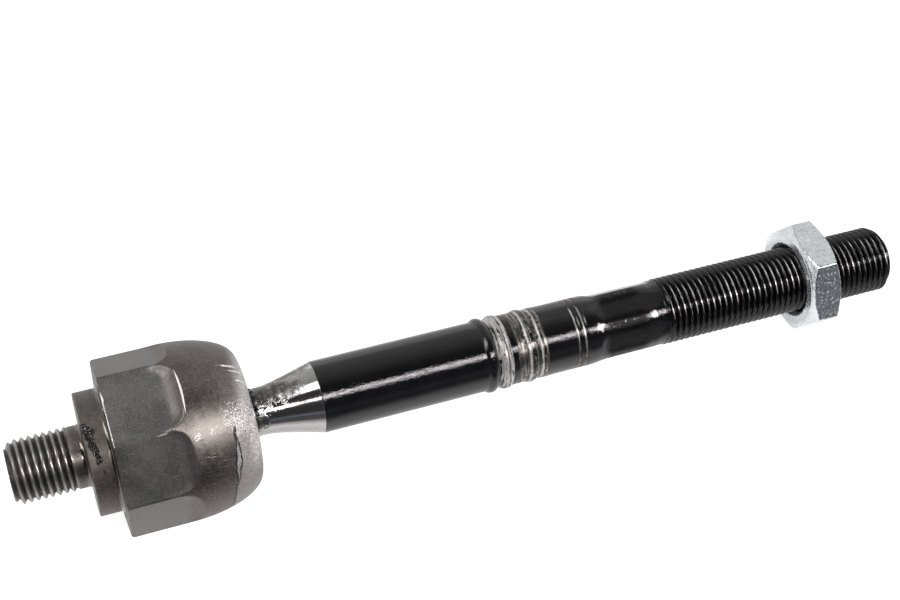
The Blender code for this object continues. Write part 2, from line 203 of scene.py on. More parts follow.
def make_rod_place():
    """Where a point lies on the rod: millimetres along it, degrees round it, distance from it."""
    kinds = {"Place": "Vector", "Station": "Float", "Round": "Float", "Radius": "Float", "Unrolled": "Vector"}
    tree, _, out = group_tree("place_on_rod", {}, kinds)
    coords = add(tree, "ShaderNodeTexCoord").outputs["Object"]
    feeds = {"Vector": coords, "Location": RACK_FACE, "Rotation": (0, DIP, 0), "Scale": (MM, MM, MM)}
    place = add(tree, "ShaderNodeMapping", feeds, vector_type="TEXTURE").outputs[0]
    parts = add(tree, "ShaderNodeSeparateXYZ", {0: place}).outputs
    turn = math(tree, "ARCTAN2", parts["Y"], parts["Z"])
    radius = length(tree, parts["Y"], parts["Z"])
    flat = {"X": parts["X"], "Y": times(tree, turn, radius), "Z": radius}
    unrolled = add(tree, "ShaderNodeCombineXYZ", flat).outputs[0]
    results = {"Place": place, "Station": parts["X"], "Round": math(tree, "DEGREES", turn)}
    plug(tree, out, {**results, "Radius": radius, "Unrolled": unrolled})
    return tree


def make_scratches():
    """Fine scratches that run along one way, broken up in patches."""
    kinds = {title: "Float" for title in ("Along", "Around", "Patches", "Threshold")}
    kinds["Unrolled"] = "Vector"
    tree, into, out = group_tree("scratches", kinds, {"Mask": "Float"})
    scale = add(tree, "ShaderNodeCombineXYZ", {"X": into["Along"], "Y": into["Around"]}).outputs[0]
    fine = grain(tree, stretch(tree, into["Unrolled"], scale), 1.0, 3.0, 0.6)
    sharp = ease(tree, fine, into["Threshold"], math(tree, "ADD", into["Threshold"], 0.09))
    where = grain(tree, into["Unrolled"], into["Patches"], 2.0)
    plug(tree, out, {"Mask": times(tree, sharp, ease(tree, where, 0.42, 0.6))})
    return tree


SPOT_SIZES = ("At station", "At round", "Half length", "Half turn", "Soft")


def make_spot():
    """Irregular patch at one place on the unrolled surface."""
    kinds = {title: "Float" for title in ("Station", "Round", "Ragged", *SPOT_SIZES)}
    tree, into, out = group_tree("spot", kinds, {"Mask": "Float"})
    off = math(tree, "SUBTRACT", into["Station"], into["At station"])
    turn = math(tree, "SUBTRACT", into["Round"], into["At round"])
    across = math(tree, "DIVIDE", off, into["Half length"])
    around = math(tree, "DIVIDE", turn, into["Half turn"])
    away = math(tree, "ADD", length(tree, across, around), into["Ragged"])
    inner, outer = left_by(tree, into["Soft"]), math(tree, "ADD", 1.0, into["Soft"])
    plug(tree, out, {"Mask": fade(tree, away, inner, outer)})
    return tree


ROD_PLACE = make_rod_place()
SCRATCHES = make_scratches()
SPOT = make_spot()


def spots(tree, place, ragged, marks):
    """Largest of several spots, each given as station, round, half length, half turn, softness."""
    masks = []
    for mark in marks:
        feeds = {"Station": place.outputs["Station"], "Round": place.outputs["Round"], "Ragged": ragged}
        feeds.update(zip(SPOT_SIZES, mark))
        masks.append(use(tree, SPOT, feeds).outputs[0])
    return largest(tree, *masks)


# Materials

def housing_steel():
    """Dark forged steel: milled flats, turned collar, dome, swaged rim, tar and scratches, with painted
    highlights, glints and shade.
    """
    made, tree, shader = new_material("housing_steel")
    place = use(tree, ROD_PLACE)
    point, unrolled = place.outputs["Place"], place.outputs["Unrolled"]
    station, turn, radius = (place.outputs[key] for key in ("Station", "Round", "Radius"))
    milled = add(tree, "ShaderNodeAttribute", attribute_name="milled").outputs["Fac"]
    cloud = grain(tree, point, 0.14, 5.0, 0.6)
    fine = grain(tree, point, 2.4, 4.0, 0.7)
    coarse = grain(tree, point, 3.0, 2.0, 0.6)
    sparkle = grain(tree, point, 5.0, 2.0, 0.5)
    ragged = ease(tree, grain(tree, point, 0.9, 4.0, 0.6), 0.25, 0.75, -0.45, 0.45)

    # Brown forging skin, greyer where a flat is milled, with painted shade darkening the flat in front
    patches = ease(tree, cloud, 0.32, 0.7)
    skin = blend_colours(tree, patches, (0.122, 0.108, 0.095), (0.176, 0.159, 0.143))
    flat = blend_colours(tree, patches, (0.165, 0.16, 0.154), (0.205, 0.197, 0.188))
    runout = times(tree, milled, ease(tree, station, 17.2, 19.6))
    colour = coats(tree, blend_colours(tree, milled, skin, flat), (
        (times(tree, runout, 0.5), (0.17, 0.148, 0.13)),
        (ease(tree, fine, 0.45, 0.70, 0.0, 0.55), (0.32, 0.305, 0.29)),
        (ease(tree, sparkle, 0.56, 0.68, 0.0, 0.7), (0.04, 0.036, 0.032)),
        # Painted shade on the milled flat that faces front
        (times(tree, milled, band(tree, turn, -73.0, -31.0, 2.0), 0.4), (0.11, 0.105, 0.10)),
    ))

    # Turned collar and stud: rings, dark thread roots, bright crests and tip, painted shade on their front
    rings = grain(tree, stretch(tree, unrolled, (3.0, 0.04, 0.0)), 1.0, 4.0, 0.6)
    rings = times(tree, fade(tree, station, 5.0, BODY_START), ease(tree, rings, 0.35, 0.7, 0.0, 0.22))
    stud = fade(tree, station, STUD_END, STUD_END + 0.8)
    crest = times(tree, stud, ease(tree, radius, 6.35, 6.9))
    # Painted shade: dark soft spots on the front of the collar and the stud
    front_shade = spots(tree, place, ragged, [(2.4, -40, 3.0, 24, 0.9), (-2.0, -42, 1.6, 22, 0.9)])
    colour = coats(tree, colour, (
        (rings, (0.26, 0.245, 0.23)),
        (times(tree, stud, 0.75), (0.13, 0.12, 0.115)),
        (times(tree, crest, 0.8), (0.44, 0.43, 0.42)),
        (ease(tree, station, -14.7, -14.1, 0.6, 0.0), (0.26, 0.255, 0.25)),
        (times(tree, front_shade, 0.6), (0.07, 0.058, 0.052)),
    ))

    # Painted highlight on the dome in front
    dome = times(tree, ease(tree, station, 20.2, 22.5), left_by(tree, milled))
    dome_highlight = spots(tree, place, ragged, [(26.5, -38, 6.0, 13, 0.85), (30.8, -28, 3.2, 22, 0.8)])
    colour = blend_colours(tree, times(tree, dome_highlight, dome, 0.35), colour, (0.44, 0.405, 0.375))

    # Swaged rim beyond a split line, and the flap that the line parts around in front
    wobble = ease(tree, grain(tree, point, 0.6, 5.0, 0.7), 0.2, 0.8, -0.3, 0.3)
    line = math(tree, "ADD", math(tree, "MULTIPLY_ADD", turn, 0.04, 31.62), wobble)
    off = math(tree, "SUBTRACT", station, line)
    rim = times(
        tree, ease(tree, off, 0.0, ease(tree, turn, -50.0, -30.0, 0.2, 3.0)),
        ease(tree, turn, 10.0, 60.0, 1.0, 0.35), ease(tree, turn, -88.0, -58.0, 0.3, 1.0),
    )
    streak = grain(tree, stretch(tree, unrolled, (1.2, 3.6, 1.2)), 1.0, 5.0, 0.7)
    # The rim is light swaged metal, painted lighter still as a highlight on the side that faces front
    rim_and_highlight_colour = blend_colours(tree, ease(tree, streak, 0.36, 0.66), (0.42, 0.41, 0.395), (0.86, 0.84, 0.82))
    colour = blend_colours(tree, times(tree, rim, 0.75), colour, rim_and_highlight_colour)
    bulge = math(tree, "POWER", math(tree, "MULTIPLY_ADD", turn, 0.05, 3.2), 2.0)
    bulge = times(tree, math(tree, "SUBTRACT", 1.0, bulge, clamp=True), 1.15)
    flap = math(tree, "ABSOLUTE", math(tree, "SUBTRACT", off, bulge))
    splits = fade(tree, math(tree, "ABSOLUTE", off), 0.14, 0.30)
    splits = largest(tree, splits, fade(tree, flap, 0.10, 0.25))
    torn = ease(tree, grain(tree, point, 0.4, 3.0), 0.30, 0.40)
    in_front = times(tree, fade(tree, turn, -42.0, -34.0), ease(tree, turn, -118.0, -108.0))
    splits = times(tree, splits, in_front, torn)

    # Painted glints on the dome, a painted glint where a flat runs out into the dome, a painted highlight
    # along the body's edge in front, and scratches
    dome_glint_marks = [
        (31.6, -33, 2.4, 10, 0.8), (34.4, -46, 1.3, 16, 0.8),
        (22.2, -39, 0.7, 2, 0.6), (25.3, -38.5, 0.5, 1.6, 0.6),
    ]
    dome_glints = times(tree, spots(tree, place, ragged, dome_glint_marks), dome, ease(tree, coarse, 0.50, 0.57))
    # Painted glint on the edge where the flat in front runs out into the dome
    reach = math(tree, "POWER", math(tree, "MULTIPLY_ADD", turn, 0.0625, 0.5), 2.0)
    runout_glint = math(tree, "SUBTRACT", station, math(tree, "MULTIPLY_ADD", reach, -0.3, 21.2))
    runout_glint_width = times(tree, math(tree, "SUBTRACT", 1.0, reach, clamp=True), 0.22)
    runout_glint = math(tree, "LESS_THAN", math(tree, "ABSOLUTE", runout_glint), runout_glint_width)
    # Painted highlight: a dotted bright line along the body's rear edge in front
    edge = times(
        tree, band(tree, station, 5.28, 5.50, 0.04), band(tree, turn, -33.0, 7.0, 1.5),
        ease(tree, radius, 17.3, 17.5), ease(tree, fine, 0.40, 0.50),
    )
    scratch_marks = [
        (32.1, 7, 1.8, 0.8, 0.4), (33.2, 2.5, 1.3, 0.5, 0.4),
        (33.6, -6, 1.2, 0.5, 0.4), (5.45, 1.8, 0.2, 3.2, 0.3),
    ]
    white = largest(tree, dome_glints, runout_glint, edge, spots(tree, place, ragged, scratch_marks))
    lines = []
    for along, around, threshold in ((0.14, 2.4, 0.60), (1.9, 0.12, 0.62)):
        feeds = {"Unrolled": unrolled, "Along": along, "Around": around, "Patches": 0.14}
        lines.append(use(tree, SCRATCHES, {**feeds, "Threshold": threshold}).outputs[0])
    lines = times(tree, largest(tree, *lines), ease(tree, dome, 0.0, 1.0, 0.12, 0.24))

    # Tar on the collar, grease in the mouth and on the lip, pits in the rim
    tar_marks = [
        (0.6, -10, 1.0, 4.5, 0.15), (1.0, -14, 1.2, 5, 0.15), (1.2, -19, 0.9, 4.5, 0.2),
        (1.4, -24, 0.65, 4, 0.2), (1.6, -29, 0.5, 4, 0.2), (1.8, -34, 0.5, 4, 0.2), (2.1, -39, 0.55, 4, 0.2),
        (1.7, -43, 0.3, 2, 0.2), (2.6, -52, 0.2, 1.5, 0.2), (4.2, -60, 0.2, 1.2, 0.2),
    ]
    tar = times(tree, spots(tree, place, ragged, tar_marks), ease(tree, radius, 12.8, 13.2))
    mouth = times(tree, fade(tree, radius, 12.0, 12.5), ease(tree, station, 24.0, 26.0))
    lip = spots(tree, place, ragged, [(35.2, -8, 0.55, 42, 0.15)])
    lip = times(tree, lip, fade(tree, radius, 13.2, 13.6))
    black = largest(tree, tar, lip, mouth)
    pits = spots(tree, place, ragged, [(32.0, -30, 2.6, 16, 0.7)])
    pits = times(tree, pits, ease(tree, coarse, 0.36, 0.42, 0.8, 0.0))
    dark = largest(tree, black, pits, splits)
    glints = times(tree, tar, ease(tree, sparkle, 0.64, 0.67), band(tree, turn, -46.0, -5.0, 3.0))
    colour = coats(tree, colour, (
        (white, (0.88, 0.86, 0.84)),
        (lines, (0.50, 0.48, 0.45)),
        (dark, (0.010, 0.009, 0.009)),
        (glints, (0.72, 0.72, 0.74)),
    ))

    # Fillets beside the collar are turned smooth, its rim is dull with old tar
    fillets = bands(tree, station, ((-1.0, -0.1), (4.5, 5.2)), 0.15)
    collar = band(tree, station, 0.1, 4.3, 0.2)
    rough = ease(tree, cloud, 0.3, 0.7, 0.36, 0.46)
    rough = math(tree, "ADD", rough, ease(tree, fine, 0.3, 0.7, -0.05, 0.06))
    for mask, change in ((stud, -0.08), (runout, 0.06), (fillets, -0.26), (collar, 0.1), (rim, -0.08)):
        rough = math(tree, "MULTIPLY_ADD", mask, change, rough)
    rough = blend(tree, black, rough, 0.16)
    metal = math(tree, "MULTIPLY_ADD", rim, -0.45, 0.92)
    metal = math(tree, "SUBTRACT", metal, times(tree, largest(tree, dark, white), 0.9), clamp=True)
    normal = bump(tree, fine, 0.3, 0.00004)
    normal = bump(tree, math(tree, "SUBTRACT", lines, splits), 0.6, 0.00012, normal)
    normal = bump(tree, times(tree, tar, grain(tree, point, 3.4, 2.0, 0.5)), 1.0, 0.0008, normal)
    normal = bump(tree, times(tree, streak, largest(tree, rim, rings)), 0.4, 0.00007, normal)
    plug(tree, shader, {"Base Color": colour, "Roughness": rough, "Metallic": metal, "Normal": normal})
    return made


def rod_paint():
    """Glossy black paint with orange peel, bare oiled steel at the neck, scraped bright on the ridges, with
    painted highlights and glints.
    """
    made, tree, shader = new_material("rod_paint")
    place = use(tree, ROD_PLACE)
    point, unrolled = place.outputs["Place"], place.outputs["Unrolled"]
    station, turn, radius = (place.outputs[key] for key in ("Station", "Round", "Radius"))
    peel = grain(tree, point, 1.3, 2.0, 0.5)
    specks = grain(tree, point, 2.8, 2.0, 0.5)
    fine = grain(tree, point, 3.0, 4.0, 0.6)
    cloud = grain(tree, point, 0.2, 4.0, 0.6)
    torn = grain(tree, point, 0.9, 5.0, 0.7)
    around = grain(tree, stretch(tree, unrolled, (2.0, 0.2, 0.6)), 1.0, 5.0, 0.6)
    ragged = ease(tree, grain(tree, point, 0.7, 5.0, 0.65), 0.25, 0.75, -0.55, 0.55)
    paint_edge = math(tree, "MULTIPLY_ADD", cloud, 0.2, station)
    bare = fade(tree, paint_edge, PAINT_START, PAINT_START + 0.12)

    # Rings rubbed through where the bellows and its clamp sat, with chips between them
    rings = (
        (92.2, 94.4), (94.6, 95.6), (97.1, 99.2), (99.35, 100.4), (101.2, 101.7), (102.2, 103.3),
        (103.5, 104.1), (111.6, 112.05), (113.3, 113.8),
    )
    left = math(tree, "MULTIPLY_ADD", torn, 0.5, times(tree, around, 0.9))
    scraped = times(tree, bands(tree, station, rings, 0.13), ease(tree, left, 0.57, 0.68))
    chips = times(tree, band(tree, station, 97.0, 104.2, 0.2), ease(tree, torn, 0.50, 0.56, 0.0, 0.9))
    scraped = largest(tree, scraped, chips)

    # Painted highlight: the second ridge and the edges of the rings are painted brightest, and made less
    # metallic so that they stay light
    second = times(tree, band(tree, station, 92.2, 95.6, 0.15), ease(tree, around, 0.38, 0.58, 0.35, 0.9))
    edges = bands(tree, station, ((94.75, 95.05), (95.4, 95.65), (99.5, 99.95), (102.5, 102.9)), 0.08)
    bright = largest(tree, second, times(tree, edges, ease(tree, torn, 0.36, 0.46)))
    worn_and_highlight = blend_colours(tree, ease(tree, around, 0.40, 0.62), (0.035, 0.031, 0.027), (0.31, 0.29, 0.265))
    worn_and_highlight = coats(tree, worn_and_highlight, (
        (ease(tree, torn, 0.54, 0.66), (0.46, 0.44, 0.42)),
        (bright, (0.60, 0.585, 0.57)),
    ))
    steel = blend_colours(tree, ease(tree, fine, 0.3, 0.7), (0.46, 0.455, 0.45), (0.58, 0.575, 0.57))
    paint = blend_colours(tree, ease(tree, cloud, 0.3, 0.7), (0.003, 0.003, 0.0035), (0.006, 0.006, 0.0065))
    unpainted = largest(tree, bare, scraped)
    colour = blend_colours(tree, unpainted, paint, blend_colours(tree, bare, worn_and_highlight, steel))

    # Oil smears and lumps of grease on the neck
    smear_marks = [
        (39.5, 12, 5.4, 34, 0.35), (44.4, -2, 2.6, 16, 0.5), (36.8, -60, 2.2, 22, 0.4),
        (35.8, -40, 1.3, 14, 0.3), (38.2, -79, 0.6, 3, 0.3), (36.0, -10, 1.6, 40, 0.4),
        (45.5, 38, 4.5, 14, 0.7),
    ]
    swirl = grain(tree, stretch(tree, unrolled, (0.8, 0.35, 0.4)), 1.0, 4.0, 0.6)
    smears = spots(tree, place, ragged, smear_marks)
    smears = times(tree, smears, ease(tree, swirl, 0.28, 0.60, 0.6, 1.0), bare)
    lump_marks = [(36.2, -14, 0.9, 32, 0.1), (36.9, -38, 0.6, 7, 0.1), (37.0, 4, 0.6, 6, 0.1)]
    raised = times(tree, fade(tree, station, 37.6, 37.8), ease(tree, radius, 5.42, 5.5))
    lumps = largest(tree, spots(tree, place, ragged, lump_marks), raised)
    oil = largest(tree, times(tree, smears, 0.85), lumps)
    stripes = grain(tree, stretch(tree, unrolled, (1.6, 0.25, 0.4)), 1.0, 3.0, 0.5)
    film = blend_colours(tree, ease(tree, stripes, 0.42, 0.62), (0.018, 0.017, 0.015), (0.10, 0.10, 0.088))

    # Painted glints where the hexagon's corners start, on the crests of the thread in front and on two groove
    # edges
    corners = spots(tree, place, ragged, [(117.4, -36, 1.0, 6, 0.3), (131.1, -36, 0.95, 6, 0.3)])
    glint_noise = grain(tree, stretch(tree, unrolled, (0.9, 0.16, 0.0)), 1.0, 4.0, 0.6)
    crests = times(
        tree, ease(tree, station, 134.8, 135.2), ease(tree, radius, 7.84, 7.92),
        ease(tree, glint_noise, 0.42, 0.62, 0.12, 1.0), band(tree, turn, -50.0, 6.0, 8.0), 0.85,
    )
    grooves = times(
        tree, bands(tree, station, ((111.6, 112.0), (113.35, 113.8)), 0.1),
        ease(tree, glint_noise, 0.44, 0.60), band(tree, turn, -64.0, 8.0, 8.0), 0.8,
    )
    glints = largest(tree, corners, crests, grooves)
    colour = coats(tree, colour, (
        (oil, blend_colours(tree, lumps, film, (0.004, 0.004, 0.004))),
        (glints, (0.72, 0.71, 0.71)),
    ))

    # The lands between the hexagon's flats are scuffed dull but for a few specks
    land = times(
        tree, band(tree, station, 119.4, 129.4, 1.0), ease(tree, radius, 7.5, 7.8),
        fade(tree, torn, 0.56, 0.62),
    )
    rough_paint = math(tree, "MULTIPLY_ADD", land, 0.3, ease(tree, fine, 0.3, 0.7, 0.05, 0.10))
    rough_metal = math(tree, "MULTIPLY_ADD", smears, 0.2, blend(tree, bare, 0.34, 0.11))
    rough = blend(tree, unpainted, rough_paint, rough_metal)
    # Scuffed lands and the oily thread give back little light
    threaded = ease(tree, station, THREAD_START - 0.5, THREAD_START + 0.5, 0.0, 0.5)
    dull = times(tree, largest(tree, times(tree, land, 0.8), threaded), left_by(tree, glints))
    ungreased = math(tree, "MULTIPLY_ADD", lumps, -0.9, 1.0)
    # Less metal under the painted highlight on the ridges, so that it stays light
    metal = times(tree, unpainted, ungreased, math(tree, "MULTIPLY_ADD", bright, -0.55, 1.0))
    metal = largest(tree, metal, dull)

    lathe = grain(tree, stretch(tree, unrolled, (5.0, 0.03, 0.0)), 1.0, 3.0)
    texture = math(tree, "MULTIPLY_ADD", specks, 1.6, peel)
    normal = bump(tree, times(tree, texture, left_by(tree, unpainted)), 0.5, 0.00005)
    normal = bump(tree, times(tree, lathe, bare), 0.2, 0.00002, normal)
    normal = bump(tree, times(tree, scraped, around), 0.8, 0.00018, normal)
    normal = bump(tree, times(tree, oil, specks), 0.8, 0.0002, normal)
    plug(tree, shader, {"Base Color": colour, "Roughness": rough, "Metallic": metal, "Normal": normal})
    shader.inputs["Specular IOR Level"].default_value = 0.66
    return made


def nut_zinc():
    """Bright zinc plating with a faint blue cast and small handling marks."""
    made, tree, shader = new_material("nut_zinc")
    place = use(tree, ROD_PLACE)
    point, station, radius = (place.outputs[key] for key in ("Place", "Station", "Radius"))
    cloud = grain(tree, point, 0.35, 4.0, 0.6)
    fine = grain(tree, point, 2.4, 5.0, 0.65)
    # Both faces are flatter and duller than the six sides
    sides = band(tree, station, NUT_START + 0.2, NUT_END - 0.2, 0.15)
    # Painted shade, dark and bluish, in the bore and on the chamfer round its edge
    edge = math(tree, "MULTIPLY_ADD", ease(tree, fine, 0.3, 0.7, -0.5, 0.5), 0.3, radius)
    oil = fade(tree, edge, 9.05, 9.25)
    colour = blend_colours(tree, ease(tree, cloud, 0.3, 0.7), (0.77, 0.81, 0.83), (0.87, 0.90, 0.92))
    colour = coats(tree, colour, (
        (ease(tree, fine, 0.52, 0.72, 0.0, 0.45), (0.50, 0.54, 0.58)),
        (oil, (0.03, 0.055, 0.06)),
    ))
    rough = ease(tree, fine, 0.3, 0.7, 0.13, 0.26)
    rough = math(tree, "ADD", rough, ease(tree, sides, 0.0, 1.0, 0.04, 0.0))
    metal = times(
        tree, ease(tree, grain(tree, point, 1.9, 3.0, 0.6), 0.56, 0.64, 1.0, 0.6),
        ease(tree, sides, 0.0, 1.0, 0.85, 1.0), math(tree, "MULTIPLY_ADD", oil, -0.8, 1.0),
    )
    mottle = times(tree, grain(tree, point, 0.9, 3.0, 0.55), ease(tree, sides, 0.0, 1.0, 0.2, 1.0))
    normal = bump(tree, mottle, 0.6, 0.0003, bump(tree, fine, 0.35, 0.00007))
    plug(tree, shader, {"Base Color": colour, "Roughness": rough, "Metallic": metal, "Normal": normal})
    return made


def seat_plastic():
    """Natural plastic with smears of grease."""
    made, tree, shader = new_material("seat_plastic")
    place = use(tree, ROD_PLACE).outputs["Place"]
    cloud = grain(tree, place, 0.5, 4.0)
    smear = ease(tree, grain(tree, place, 0.3, 3.0), 0.5, 0.62)
    colour = blend_colours(tree, cloud, (0.62, 0.59, 0.50), (0.74, 0.71, 0.62))
    colour = blend_colours(tree, times(tree, smear, 0.7), colour, (0.05, 0.045, 0.04))
    rough = ease(tree, cloud, 0.3, 0.7, 0.35, 0.5)
    normal = bump(tree, grain(tree, place, 2.0), 0.2, 0.00005)
    plug(tree, shader, {"Base Color": colour, "Roughness": rough, "Normal": normal})
    return made


def spring_steel():
    """Oiled spring steel, cloudy."""
    made, tree, shader = new_material("spring_steel")
    place = use(tree, ROD_PLACE).outputs["Place"]
    cloud = grain(tree, place, 0.6, 4.0)
    colour = blend_colours(tree, cloud, (0.13, 0.13, 0.14), (0.26, 0.26, 0.27))
    rough = ease(tree, cloud, 0.3, 0.7, 0.25, 0.4)
    normal = bump(tree, grain(tree, place, 3.0), 0.2, 0.00005)
    plug(tree, shader, {"Base Color": colour, "Roughness": rough, "Metallic": 1.0, "Normal": normal})
    return made


# Turned shapes

def soft_min(first, second, width):
    """Smaller of two lengths, rounded over where they meet."""
    share = np.clip(width - np.abs(first - second), 0, None) / width
    return np.minimum(first, second) - share**2 * width / 4


def fine_path(points, longest):
    """Profile with extra points, so that no step is longer than the given length."""
    path = [points[0]]
    for before, after in zip(points, points[1:]):
        reach = sqrt((after[0] - before[0]) ** 2 + (after[1] - before[1]) ** 2)
        steps = max(1, int(reach / longest + 0.999))
        for step in range(1, steps + 1):
            share = step / steps
            path.append(tuple(a + (b - a) * share for a, b in zip(before, after)))
    return path


def swept(name, path, angles, shape=None, closed=False):
    """Turned mesh in the rod's own millimetres, its rings pushed by a shape function."""
    stations = np.array([point[0] for point in path])[:, None]
    radii = np.array([point[1] for point in path])[:, None]
    angles = np.asarray(angles)[None, :]
    reach = np.repeat(radii, angles.shape[1], axis=1)
    along = np.repeat(stations, angles.shape[1], axis=1)
    skin = reach
    if shape:
        reach = shape(along, np.repeat(angles, len(path), axis=0), reach)
    y = -reach * np.cos(angles)
    z = reach * np.sin(angles)
    vertices = np.stack([along, y, z], axis=-1).reshape(-1, 3)
    rows, columns = reach.shape
    index = np.arange(rows * columns).reshape(rows, columns)
    low = index if closed else index[:-1]
    high = np.roll(index, -1, axis=0) if closed else index[1:]
    quads = np.stack([low, np.roll(low, -1, axis=1), np.roll(high, -1, axis=1), high], axis=-1)
    mesh = bpy.data.meshes.new(name)
    mesh.from_pydata(vertices.tolist(), [], quads.reshape(-1, 4).tolist())
    milled = mesh.attributes.new("milled", "FLOAT", "POINT")
    milled.data.foreach_set("value", np.clip((skin - reach) / 0.05, 0, 1).ravel())
    form = bmesh.new()
    form.from_mesh(mesh)
    bmesh.ops.remove_doubles(form, verts=form.verts, dist=0.0005)
    bmesh.ops.dissolve_degenerate(form, dist=0.0001, edges=form.edges)
    bmesh.ops.recalc_face_normals(form, faces=form.faces)
    form.to_mesh(mesh)
    form.free()
    obj = bpy.data.objects.new(name, mesh)
    bpy.context.scene.collection.objects.link(obj)
    return obj


def merge(first, second):
    """Take a second mesh into the first object."""
    form = bmesh.new()
    form.from_mesh(first.data)
    form.from_mesh(second.data)
    form.to_mesh(first.data)
    form.free()
    bpy.data.objects.remove(second)


def settle(obj, sharp):
    """Place a finished piece in the world and smooth it, but for edges sharper than so many degrees."""
    obj.data.transform(ROD_FRAME)
    obj.data.shade_smooth()
    obj.data.set_sharp_from_angle(angle=radians(sharp))


def arc(centre, radius, start, end, steps):
    """Points on a circle, between two angles in degrees."""
    points = []
    for step in range(steps + 1):
        angle = radians(start + (end - start) * step / steps)
        points.append((centre[0] + radius * cos(angle), centre[1] + radius * sin(angle)))
    return points


# Thread cutter

def thread_tree():
    """Geometry nodes that press a helical thread into a turned blank lying along X."""
    tree = bpy.data.node_groups.new("cut_thread", "GeometryNodeTree")
    kinds = {title: "Float" for title in ("Pitch", "Depth", "Start", "End", "Run-out", "Crest", "Offset")}
    for title, kind in {"Blank": "Geometry", **kinds, "Surface": "Material"}.items():
        tree.interface.new_socket(title, in_out="INPUT", socket_type="NodeSocket" + kind)
    tree.interface.new_socket("Threaded", in_out="OUTPUT", socket_type="NodeSocketGeometry")
    size, out = tree.nodes.new("NodeGroupInput").outputs, tree.nodes.new("NodeGroupOutput")
    place = add(tree, "GeometryNodeInputPosition").outputs[0]
    parts = add(tree, "ShaderNodeSeparateXYZ", {0: place}).outputs
    turn = math(tree, "DIVIDE", math(tree, "ARCTAN2", parts["Z"], parts["Y"]), 2 * pi)
    radius = length(tree, parts["Y"], parts["Z"])
    travel = math(tree, "DIVIDE", math(tree, "SUBTRACT", parts["X"], size["Offset"]), size["Pitch"])
    phase = math(tree, "FRACT", math(tree, "SUBTRACT", travel, turn))
    # Distance from the middle of the groove, one at the crest
    swing = math(tree, "ABSOLUTE", math(tree, "MULTIPLY_ADD", phase, 2.0, -1.0))
    flank = math(tree, "DIVIDE", swing, left_by(tree, size["Crest"]), clamp=True)
    groove = math(tree, "SUBTRACT", 1.0, math(tree, "SMOOTH_MIN", flank, 1.0, 0.18), clamp=True)
    # The thread runs out at both ends
    entered = math(tree, "SUBTRACT", parts["X"], size["Start"])
    remaining = math(tree, "SUBTRACT", size["End"], parts["X"])
    rise = math(tree, "DIVIDE", entered, size["Run-out"], clamp=True)
    fall = math(tree, "DIVIDE", remaining, size["Run-out"], clamp=True)
    depth = times(tree, groove, size["Depth"], rise, fall)
    reach = math(tree, "SUBTRACT", radius, depth)
    share = math(tree, "DIVIDE", reach, math(tree, "MAXIMUM", radius, 0.001))
    moved = {"X": parts["X"], "Y": times(tree, parts["Y"], share), "Z": times(tree, parts["Z"], share)}
    moved = add(tree, "ShaderNodeCombineXYZ", moved).outputs[0]
    set_place = add(tree, "GeometryNodeSetPosition", {"Geometry": size["Blank"], "Position": moved})
    real = add(tree, "GeometryNodeRealizeInstances", {0: set_place.outputs[0]})
    feeds = {"Geometry": real.outputs[0], "Material": size["Surface"]}
    plug(tree, out, {0: add(tree, "GeometryNodeSetMaterial", feeds).outputs[0]})
    return tree


THREAD = thread_tree()


def cut_thread(blank, surface, **sizes):
    """Thread a blank and leave it as a plain mesh."""
    cutter = blank.modifiers.new("thread", "NODES")
    cutter.node_group = THREAD
    for item in THREAD.interface.items_tree:
        title = item.name.replace("-", "_").lower()
        if title in sizes:
            cutter[item.identifier] = float(sizes[title])
        if item.name == "Surface":
            cutter[item.identifier] = surface
    graph = bpy.context.evaluated_depsgraph_get()
    mesh = bpy.data.meshes.new_from_object(blank.evaluated_get(graph))
    mesh.name = blank.name
    blank.modifiers.remove(cutter)
    blank.data = mesh


# Socket housing

FLAT_NORMALS = [BODY_TURN + 45 * index for index in range(8)]


def cut_flats(along, angles, reach):
    """Eight milled flats that run out into the dome along the cutter's curve, with rounded corners there."""
    body = (along > 4.0) & (along < 24.0) & (reach > 14.5)
    corner_start, corner_radius, runout_start, runout = 4.6, 3.0, 16.4, 4.7
    for index, normal in enumerate(FLAT_NORMALS):
        distance = WRENCH_FLAT if index % 4 == 0 else PLAIN_FLAT
        lean = np.cos(angles - radians(normal))
        across = np.abs(reach * np.sin(angles - radians(normal)))
        past = np.clip(across - corner_start, 0, corner_radius - 0.1)
        corner = corner_radius - np.sqrt(corner_radius**2 - past**2)
        ahead = np.clip((along - runout_start + corner) / runout, 0, 1.3)
        rise = (BODY_RADIUS - 0.03 - distance) * ahead**3.4
        flat = np.where((lean > 0.5) & (ahead < 1.3), (distance + rise) / np.maximum(lean, 0.5), NO_CUT)
        reach = np.where(body, soft_min(reach, flat, 0.06), reach)
    # Burrs left on the swaged rim by the press
    turn = np.degrees(angles) % 360
    burr = np.clip(1 - turn / 9, 0, 1) * np.clip(1 - np.abs(along - 34.6) / 0.9, 0, 1)
    burr = burr * (0.6 + 0.4 * np.sin((turn - 90) * 1.9 + along * 6))
    return np.where((along > 33.0) & (reach > 12.9), reach + 0.45 * burr, reach)


def housing_angles():
    """Columns, closer together beside the corners between flats."""
    corners = []
    for index, normal in enumerate(FLAT_NORMALS):
        near = WRENCH_FLAT if index % 4 == 0 else PLAIN_FLAT
        far = WRENCH_FLAT if index % 4 == 3 else PLAIN_FLAT
        corners.append(normal + degrees(atan2(far - near * cos(radians(45)), near * sin(radians(45)))))
    columns = []
    for start, end in zip(corners, corners[1:] + [corners[0] + 360]):
        steps = np.linspace(0, 1, 39)[:-1]
        columns += list(start + (end - start) * (steps - 0.3 / (2 * pi) * np.sin(2 * pi * steps)))
    return np.radians(np.array(columns))


